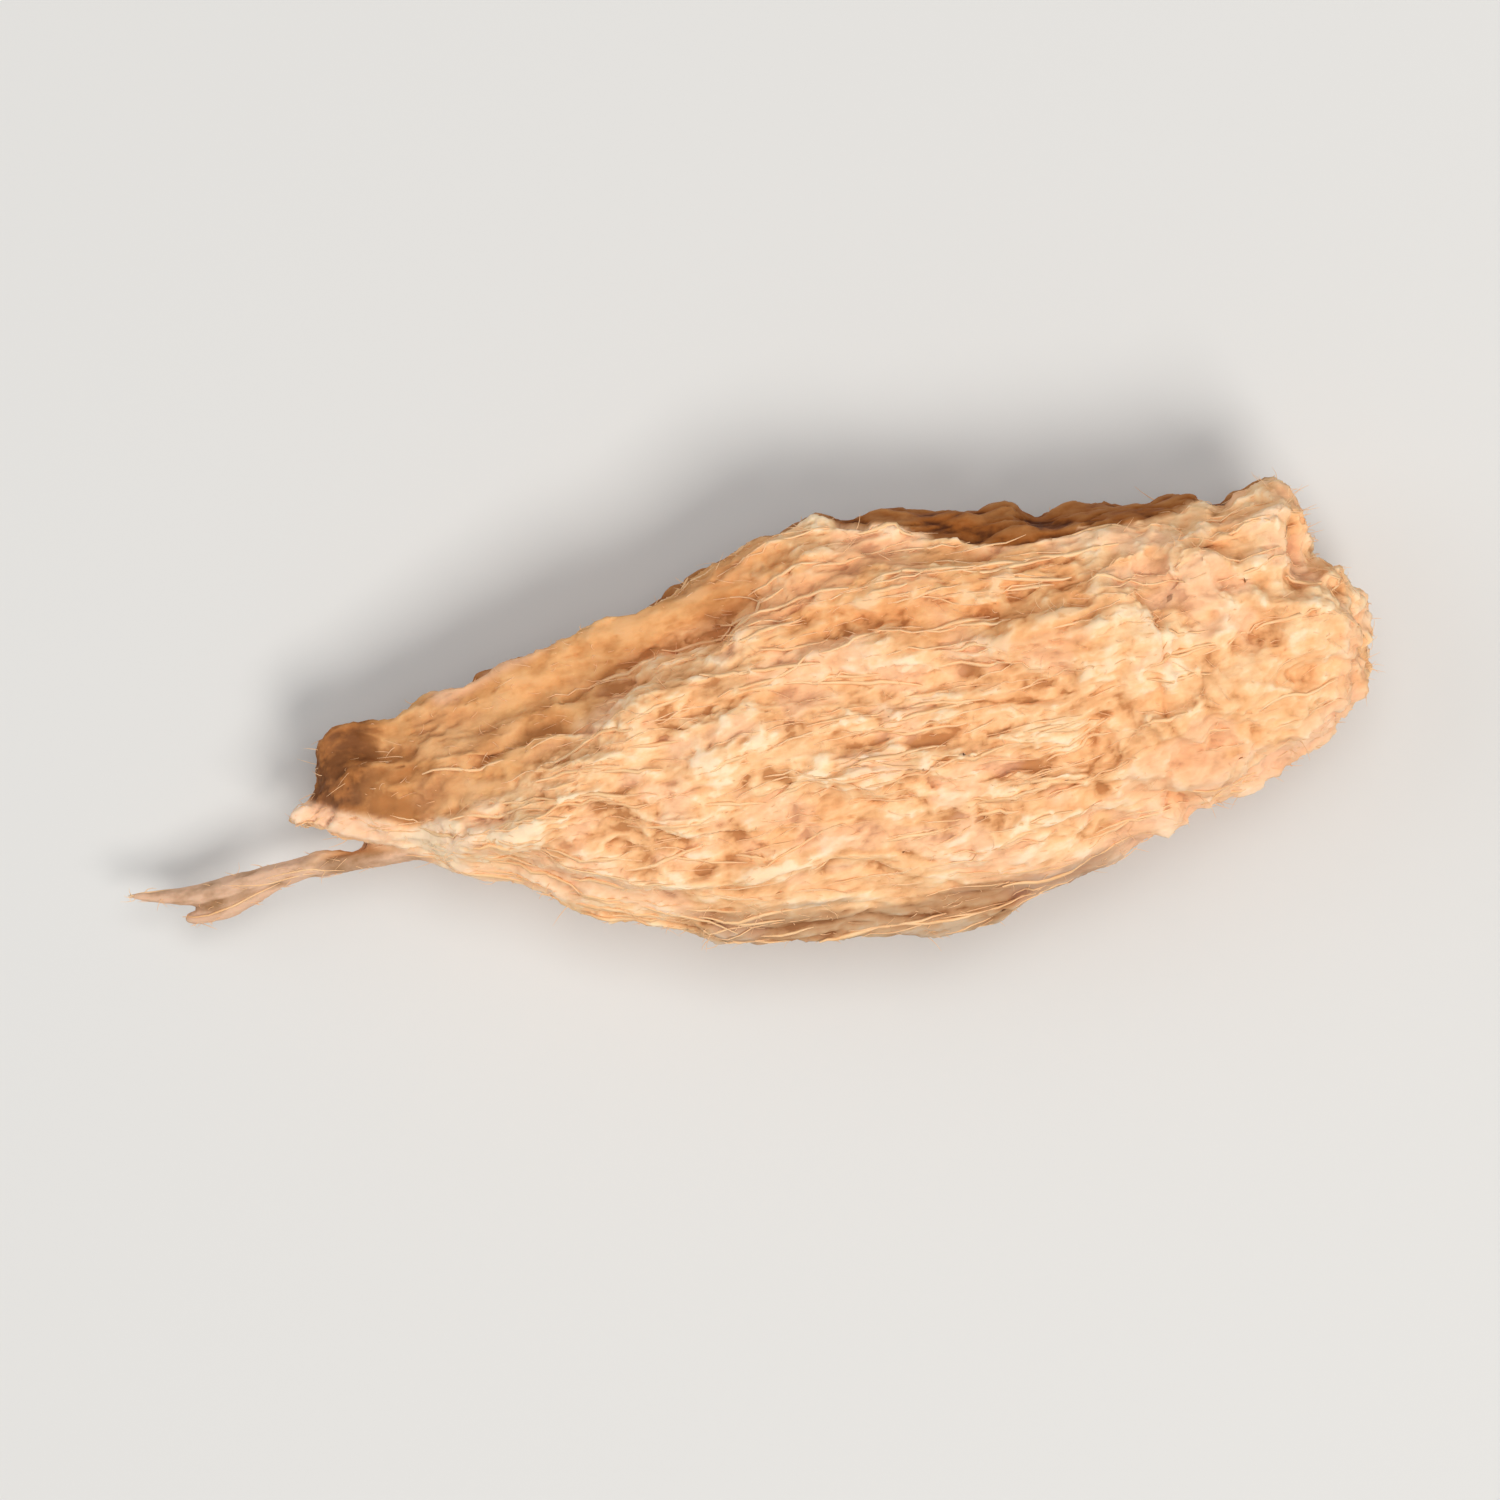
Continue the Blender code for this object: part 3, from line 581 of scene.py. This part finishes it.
def smoothed(mesh, points, rounds):
    """The points, each drawn to the mean of its neighbours again and again."""
    ends = np.empty(len(mesh.edges) * 2, np.int32)
    mesh.edges.foreach_get("vertices", ends)
    first, second = ends[0::2], ends[1::2]
    share = np.bincount(ends, minlength=len(points)).astype(float)
    places = points.copy()
    for _ in range(rounds):
        for axis in range(3):
            column = places[:, axis]
            total = (np.bincount(first, column[second], len(points))
                     + np.bincount(second, column[first], len(points)))
            places[:, axis] = 0.3 * column + 0.7 * total / share
    return places


def raised_parts(mesh, points):
    """How far each point stands over its surroundings: 0 in pits, 0.5 on the level, 1 on crests."""
    normals = normals_of(mesh)
    near = smoothed(mesh, points, rounds=14)
    wide = smoothed(mesh, near, rounds=110)
    fine = np.sum((points - near) * normals, axis=1)
    broad = np.sum((near - wide) * normals, axis=1)
    return np.clip(0.5 + fine / FINE_RELIEF + broad / BROAD_RELIEF, -0.3, 1.3)


def flesh_tone(mesh, points, moved, zone):
    """Painted shade and highlight of the flesh: 0 in pits, 0.5 on the level and 1 on crests, with some
    patches.
    """
    x, y = design_places(moved)
    sunken, band = zone["sunken"], zone["band"]
    # Painted shade in hollows and painted highlight on crests, from how far each point stands over its
    # surroundings
    tone = raised_parts(mesh, moved)
    tone += (0.40 * zone["torn"] + 0.35 * sunken) * (0.60 - tone)
    # Painted light on the tip band
    places, light = np.array(BAND_PAINTED_LIGHT).T
    tone += band * np.interp(x, places * MM, light)
    # Painted shade in the cracks, seams and hollows
    tone -= crack_depth(points) / CRACK_SHADE
    # Painted shade at the left end: on the steep brown end and on the left of the sunken part
    left_end = 1 - smooth_mm(moved[:, 0], -5.2, -4.0)
    tone -= 0.08 * zone["brown"] + 0.35 * sunken * left_end * (1 - band)
    tone -= 0.40 * sunken * near_line(x, y, DULL_STRIP, 0.05, 0.30)
    patches = field(points, (0.62, 0.52, 0.52), 2, start=17) * (0.25 + 0.08 * sunken)
    # Adds a painted highlight along the near rim crest, and random patches of tone
    return tone + 0.06 * zone["rim"] * (1 - zone["wall"]) + patches


def grow_relief(piece, settings):
    """Move the surface by the relief of each zone and keep what the materials need."""
    mesh = piece.data
    points, normals = points_of(mesh), normals_of(mesh)
    zone = zones(points, normals)
    grain = grain_places(points)
    skin = zone["skin"]
    height = (flesh_height(grain, points, settings, zone) * (1 - skin)
              + skin_height(grain, points, settings) * skin)
    height *= 1 - 0.72 * zone["tail"]
    moved = points + normals * height[:, None]
    moved[:, 2] = np.maximum(moved[:, 2], 0.0)
    set_points(mesh, moved)
    store(mesh, "painted_light_and_tone", flesh_tone(mesh, points, moved, zone))
    for name in STORED_ZONES:
        store(mesh, name, zone[name])


class NodeSheet:
    """Adds shader nodes to a material and links them."""

    def __init__(self, material):
        material.use_nodes = True
        self.tree = material.node_tree
        self.tree.nodes.clear()

    def add(self, kind, values=(), **settings):
        node = self.tree.nodes.new(kind)
        for name, value in settings.items():
            setattr(node, name, value)
        for socket, value in dict(values).items():
            if isinstance(value, bpy.types.NodeSocket):
                self.tree.links.new(value, node.inputs[socket])
            else:
                node.inputs[socket].default_value = value
        return node

    def attribute(self, name):
        return self.add("ShaderNodeAttribute", attribute_name=name).outputs["Fac"]

    def noise(self, where, scale, detail=2.0):
        node = self.add("ShaderNodeTexNoise", {"Vector": where, "Scale": scale, "Detail": detail})
        return node.outputs["Fac"]

    def ramp(self, value, *stops):
        node = self.add("ShaderNodeValToRGB", {"Fac": value})
        while len(node.color_ramp.elements) < len(stops):
            node.color_ramp.elements.new(0.5)
        for element, (place, colour) in zip(node.color_ramp.elements, stops):
            element.position = place
            element.color = colour
        return node.outputs["Color"]

    def maths(self, operation, first, second, third=0.0):
        return self.add("ShaderNodeMath", {0: first, 1: second, 2: third}, operation=operation).outputs[0]


def root_material(colours):
    """Dried root: fibrous flesh with painted shade in its grooves and a painted highlight on its crests,
    and reddish brown skin by the skin mask.
    """
    material = bpy.data.materials.new("dried_root")
    sheet = NodeSheet(material)
    where = sheet.add("ShaderNodeTexCoord").outputs["Object"]
    drawn_out = sheet.add("ShaderNodeMapping", {"Vector": where, "Scale": (0.45, 1.0, 1.0)})
    grain = drawn_out.outputs["Vector"]
    painted_light_and_tone, skin = sheet.attribute("painted_light_and_tone"), sheet.attribute("skin")
    streaks = sheet.noise(grain, 1 / (0.17 * MM), 5.0)
    specks = sheet.noise(where, 1 / (0.07 * MM), 2.0)
    mottle = sheet.maths("MULTIPLY_ADD", streaks, 1.0, -0.64)
    height = sheet.maths("ADD", painted_light_and_tone, sheet.maths("MULTIPLY_ADD", specks, 0.28, mottle))
    # This ramp and the tan one paint shade in hollows and a highlight on crests
    flesh = sheet.ramp(height, (0.0, colours.pit_shade), (0.17, colours.groove_shade), (0.40, colours.flesh),
                       (0.74, colours.cream), (1.0, colours.crest_highlight))
    tan = sheet.ramp(height, (0.12, colours.tan_groove_shade), (0.42, colours.tan),
                     (0.80, colours.tan_crest_highlight))
    flesh = colour_mix(sheet, sheet.maths("MULTIPLY", sheet.attribute("sunken"), 0.85), flesh, tan)
    # Pink patches and edges, with a painted highlight on the far edge
    flesh = colour_mix(sheet, sheet.maths("MULTIPLY", sheet.attribute("pink_and_highlight"), 0.50), flesh, colours.pink_and_highlight)
    flesh = colour_mix(sheet, sheet.attribute("amber"), flesh, colours.amber, "MULTIPLY")
    # Painted shade on the side under the near rim
    flesh = colour_mix(sheet, sheet.attribute("wall"), flesh, colours.wall, "MULTIPLY")
    # The tail's ramp paints shade in its grooves
    straw = sheet.ramp(height, (0.24, colours.tail_groove_shade), (0.78, colours.tail))
    flesh = colour_mix(sheet, sheet.attribute("tail"), flesh, straw)
    # The skin's ramp paints shade in its folds and a highlight on its crests
    brown = sheet.ramp(height, (0.08, colours.skin_fold_shade), (0.45, colours.skin),
                       (0.95, colours.skin_crest_highlight))
    colour = colour_mix(sheet, skin, flesh, brown)
    bump = sheet.add("ShaderNodeBump", {"Height": streaks, "Strength": 0.8, "Distance": 0.03 * MM})
    rough = sheet.add("ShaderNodeMapRange", {"Value": skin, "To Min": 0.88, "To Max": 0.66})
    shader = sheet.add("ShaderNodeBsdfPrincipled", {
        "Base Color": colour, "Roughness": rough.outputs["Result"],
        "Normal": bump.outputs["Normal"], "Subsurface Weight": 0.12,
        "Subsurface Radius": (1.0, 0.5, 0.25), "Subsurface Scale": 0.25 * MM,
        "Specular IOR Level": 0.2})
    sheet.add("ShaderNodeOutputMaterial", {"Surface": shader.outputs["BSDF"]})
    return material


def colour_mix(sheet, share, first, second, how="MIX"):
    """Colour that goes from the first to the second as the share goes from 0 to 1."""
    node = sheet.add("ShaderNodeMix", data_type="RGBA", blend_type=how)
    for socket, value in ((0, share), (6, first), (7, second)):
        if isinstance(value, bpy.types.NodeSocket):
            sheet.tree.links.new(value, node.inputs[socket])
        else:
            node.inputs[socket].default_value = value
    return node.outputs[2]


def fibre_material(colours):
    """Pale loose fibres, each a little lighter or darker along its length."""
    material = bpy.data.materials.new("loose_fibre")
    sheet = NodeSheet(material)
    where = sheet.add("ShaderNodeTexCoord").outputs["Object"]
    patches = sheet.noise(where, 1 / (0.55 * MM), 3.0)
    colour = sheet.ramp(patches, (0.30, colours.flesh), (0.62, colours.cream))
    shader = sheet.add("ShaderNodeBsdfPrincipled", {
        "Base Color": colour, "Roughness": 0.8, "Subsurface Weight": 0.12,
        "Subsurface Radius": (1.0, 0.5, 0.25), "Subsurface Scale": 0.2 * MM, "Specular IOR Level": 0.3})
    sheet.add("ShaderNodeOutputMaterial", {"Surface": shader.outputs["BSDF"]})
    return material


def surface_tree(piece):
    depsgraph = bpy.context.evaluated_depsgraph_get()
    return BVHTree.FromObject(piece, depsgraph)


def grain_slopes(points):
    """Slope of the grain in plan: a function of x and y, from how the outline narrows."""
    centres, low, high = outline_slices(points)
    smooth = np.array([0.25, 0.5, 0.25])
    low, high = np.convolve(low, smooth, "same"), np.convolve(high, smooth, "same")
    low_slope, high_slope = np.gradient(low, centres), np.gradient(high, centres)

    def slope(x, y):
        bottom, top = np.interp(x, centres, low), np.interp(x, centres, high)
        share = min(max((y - bottom) / (top - bottom), 0.0), 1.0)
        near, far = np.interp(x, centres, low_slope), np.interp(x, centres, high_slope)
        return 0.6 * (near * (1 - share) + far * share)

    return slope


def trace_fibre(tree, slope, start, side, length, lift, draw):
    """Points of a fibre that follows the grain over the surface, with its free end lifted."""
    place, route = Vector(start), []
    sway = draw.gauss(0, 0.10)
    for step in range(FIBRE_STEPS + 1):
        spot, normal, _, _ = tree.find_nearest(place)
        rise = lift * max(0.0, step / FIBRE_STEPS - 0.45) ** 2 / 0.30
        route.append(spot + normal * rise)
        sway += draw.gauss(0, 0.06)
        heading = Vector((1.0, slope(spot.x, spot.y) + sway, draw.gauss(0, 0.05))) * side
        heading = (heading - normal * heading.dot(normal)).normalized()
        place = spot + heading * (length / FIBRE_STEPS)
    return route


def fibre_radii(thick):
    """Radii along a loose fibre, which thins out towards both ends."""
    return [thick * (0.15 + 0.85 * math.sin(math.pi * (k + 0.4) / (FIBRE_STEPS + 0.8)))
            for k in range(FIBRE_STEPS + 1)]


def strands_mesh(name, routes, material):
    """All routes as thin tubes in one mesh; each route is (points, radii)."""
    curve = bpy.data.curves.new(name, "CURVE")
    curve.dimensions = "3D"
    curve.bevel_depth = 1.0
    curve.bevel_resolution = 0
    curve.use_fill_caps = True
    for points, radii in routes:
        spline = curve.splines.new("POLY")
        spline.points.add(len(points) - 1)
        for slot, point, radius in zip(spline.points, points, radii):
            slot.co = (*point, 1.0)
            slot.radius = radius
    piece = bpy.data.objects.new(name, curve)
    bpy.context.scene.collection.objects.link(piece)
    select_only(piece)
    bpy.ops.object.convert(target="MESH")
    piece = bpy.context.view_layer.objects.active
    select_only(piece)
    bpy.ops.object.shade_smooth()
    piece.data.materials.clear()
    piece.data.materials.append(material)
    return piece


def add_to_chip(piece):
    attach(piece, "root")


def chip_surface():
    return bpy.data.objects["chip_surface"]


def layer_values(mesh, name):
    values = np.empty(len(mesh.vertices), np.float32)
    mesh.attributes[name].data.foreach_get("value", values)
    return values


def flesh_starts(mesh, draw, count, weights):
    """Random points of the surface with their normals, by the weight of each point."""
    points, normals = points_of(mesh), normals_of(mesh)
    totals = np.cumsum(weights)
    picks = [int(np.searchsorted(totals, draw.random() * totals[-1])) for _ in range(count)]
    return [(Vector(points[k]), Vector(normals[k])) for k in picks]


class RootChipSurface(Operator):
    """Grow the fine surface of the chip from the frame's solid"""
    bl_idname = "root_chip.surface"
    bl_label = "Chip Surface"

    def execute(self, context):
        settings = context.scene.root_chip_surface
        piece = merged_copy("chip_surface")
        refine(piece, settings.spacing, settings.squeeze)
        pull_outline(piece)
        grow_relief(piece, settings)
        piece.data.materials.append(root_material(context.scene.root_chip_colours))
        bpy.ops.object.shade_smooth()
        add_to_chip(piece)
        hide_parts(CHIP_NODE)
        return {"FINISHED"}


class RootChipFibres(Operator):
    """Lay loose fibres along the broken faces"""
    bl_idname = "root_chip.fibres"
    bl_label = "Loose Fibres"

    def execute(self, context):
        settings = context.scene.root_chip_fibres
        surface = chip_surface()
        tree, draw = surface_tree(surface), random.Random(settings.seed)
        slope = grain_slopes(points_of(surface.data))

        mesh = surface.data
        skin, sunken = layer_values(mesh, "skin"), layer_values(mesh, "sunken")
        torn, tail = layer_values(mesh, "torn"), layer_values(mesh, "tail")
        upward = np.clip(normals_of(mesh)[:, 2], 0, 1)
        weights = ((1 - skin) * (1 - 0.95 * sunken) * (1 - 0.6 * torn) * (1 - 0.8 * tail)
                   * (points_of(mesh)[:, 2] > 0.25 * MM) * (0.35 + upward))
        routes = []
        for number, (start, _) in enumerate(flesh_starts(mesh, draw, settings.count, weights)):
            splinter = number % 3 == 0
            length = draw.uniform(0.5, 1.6) * MM
            lift = max(0.0, draw.gauss(0.0, 0.05)) * MM
            points = trace_fibre(tree, slope, start, draw.choice((-1, 1)), length, lift, draw)
            share = draw.uniform(1.0, 1.7) if splinter else draw.uniform(0.35, 0.8)
            routes.append((points, fibre_radii(settings.radius * share)))
        piece = strands_mesh("loose_fibres", routes, fibre_material(context.scene.root_chip_colours))
        add_to_chip(piece)
        return {"FINISHED"}


class RootChipNap(Operator):
    """Raise a short nap of fine hairs from the broken faces and edges"""
    bl_idname = "root_chip.nap"
    bl_label = "Nap"

    def execute(self, context):
        settings = context.scene.root_chip_fibres
        surface = chip_surface()
        draw = random.Random(settings.seed + 1)

        mesh = surface.data
        weights = (1 - 0.9 * layer_values(mesh, "skin")) * (points_of(mesh)[:, 2] > 0.12 * MM)
        routes = []
        for start, normal in flesh_starts(mesh, draw, settings.nap_count, weights):
            length = settings.nap_length * draw.uniform(0.4, 1.6)
            side = draw.choice((-1, 1))
            heading = Vector((side * 1.3, draw.gauss(0, 0.5), draw.gauss(0, 0.2)))
            heading = (heading + normal * 0.22).normalized()
            bend = Vector([draw.gauss(0, 0.45) for _ in range(3)]) - 0.15 * normal
            points = [start + heading * (length * t) + bend * (length * t * t)
                      for t in (0.0, 0.35, 0.7, 1.0)]
            points[0] -= normal * 0.01 * MM
            if min(point.z for point in points) > 0.01 * MM:
                radius = settings.nap_radius * draw.uniform(0.6, 1.2)
                routes.append((points, [radius, radius * 0.9, radius * 0.65, radius * 0.25]))
        material = bpy.data.materials["loose_fibre"]
        add_to_chip(strands_mesh("nap", routes, material))
        return {"FINISHED"}


class RootChipStage(Operator):
    """Add the floor, the lights, the world and the camera"""
    bl_idname = "root_chip.stage"
    bl_label = "Stage"

    def execute(self, context):
        settings = context.scene.root_chip_stage
        add_floor(settings)
        add_lights(settings)
        add_world()
        add_camera(settings)
        context.scene.view_settings.view_transform = "Standard"
        return {"FINISHED"}


def add_floor(settings):
    bpy.ops.object.select_all(action="DESELECT")
    bpy.ops.mesh.primitive_plane_add(size=3.0, location=(0, 0, -0.00001))
    floor = bpy.context.view_layer.objects.active
    floor.name = "floor"
    material = bpy.data.materials.new("floor")
    sheet = NodeSheet(material)
    shader = sheet.add("ShaderNodeBsdfPrincipled", {
        "Base Color": settings.floor, "Roughness": 0.9, "Specular IOR Level": 0.1})
    sheet.add("ShaderNodeOutputMaterial", {"Surface": shader.outputs["BSDF"]})
    floor.data.materials.append(material)


def add_area_light(name, place, size, power, colour):
    light = bpy.data.lights.new(name, "AREA")
    light.size = size
    light.energy = power
    light.color = colour
    obj = bpy.data.objects.new(name, light)
    obj.location = place
    obj.rotation_euler = (-Vector(place)).to_track_quat("-Z", "Y").to_euler()
    bpy.context.scene.collection.objects.link(obj)


def add_lights(settings):
    add_area_light("key_light", (0.07, -0.115, 0.20), 0.11, settings.key, (1.0, 0.97, 0.93))
    add_area_light("fill_light", (-0.18, 0.10, 0.15), 0.20, settings.fill, (0.95, 0.97, 1.0))
    add_area_light("top_light", (0.03, 0.05, 0.25), 0.14, settings.top, (1.0, 0.99, 0.97))


def add_world():
    world = bpy.data.worlds.new("studio")
    world.use_nodes = True
    background = world.node_tree.nodes["Background"]
    background.inputs["Color"].default_value = (0.90, 0.91, 0.93, 1.0)
    background.inputs["Strength"].default_value = 0.30
    bpy.context.scene.world = world


def add_camera(settings):
    camera = bpy.data.cameras.new("camera")
    camera.sensor_width = 36.0
    camera.lens = camera.sensor_width * (settings.view_height - FACE_HEIGHT) / settings.view_width
    camera.clip_start = 0.005
    camera.clip_end = 10.0
    obj = bpy.data.objects.new("camera", camera)
    obj.location = (0.0, 0.0, settings.view_height)
    obj.rotation_euler = (0.0, 0.0, -settings.roll)
    bpy.context.scene.collection.objects.link(obj)
    bpy.context.scene.camera = obj


class RootChipPanel(Panel):
    """Shows the chip's settings and the buttons that run its steps"""
    bl_idname = "VIEW3D_PT_root_chip"
    bl_label = "Root Chip"
    bl_space_type = "VIEW_3D"
    bl_region_type = "UI"
    bl_category = "Root Chip"

    def draw(self, context):
        for settings in (context.scene.root_chip_surface, context.scene.root_chip_fibres,
                         context.scene.root_chip_colours, context.scene.root_chip_stage):
            box = self.layout.box()
            for name in settings.__annotations__:
                box.prop(settings, name)
        for operator in OPERATORS:
            self.layout.operator(operator.bl_idname)


SETTINGS = {
    "root_chip_surface": ChipSurfaceSettings,
    "root_chip_fibres": ChipFibreSettings,
    "root_chip_colours": ChipColourSettings,
    "root_chip_stage": ChipStageSettings,
}
OPERATORS = (RootChipSurface, RootChipFibres, RootChipNap, RootChipStage)


def register():
    for group in SETTINGS.values():
        bpy.utils.register_class(group)
    for name, group in SETTINGS.items():
        setattr(bpy.types.Scene, name, PointerProperty(type=group))
    for item in OPERATORS + (RootChipPanel,):
        bpy.utils.register_class(item)


def unregister():
    for item in (RootChipPanel,) + OPERATORS[::-1]:
        bpy.utils.unregister_class(item)
    for name in SETTINGS:
        delattr(bpy.types.Scene, name)
    for group in SETTINGS.values():
        bpy.utils.unregister_class(group)


def main():
    register()
    bpy.ops.root_chip.surface()
    bpy.ops.root_chip.fibres()
    bpy.ops.root_chip.nap()
    bpy.ops.root_chip.stage()


if __name__ == "__main__":
    main()
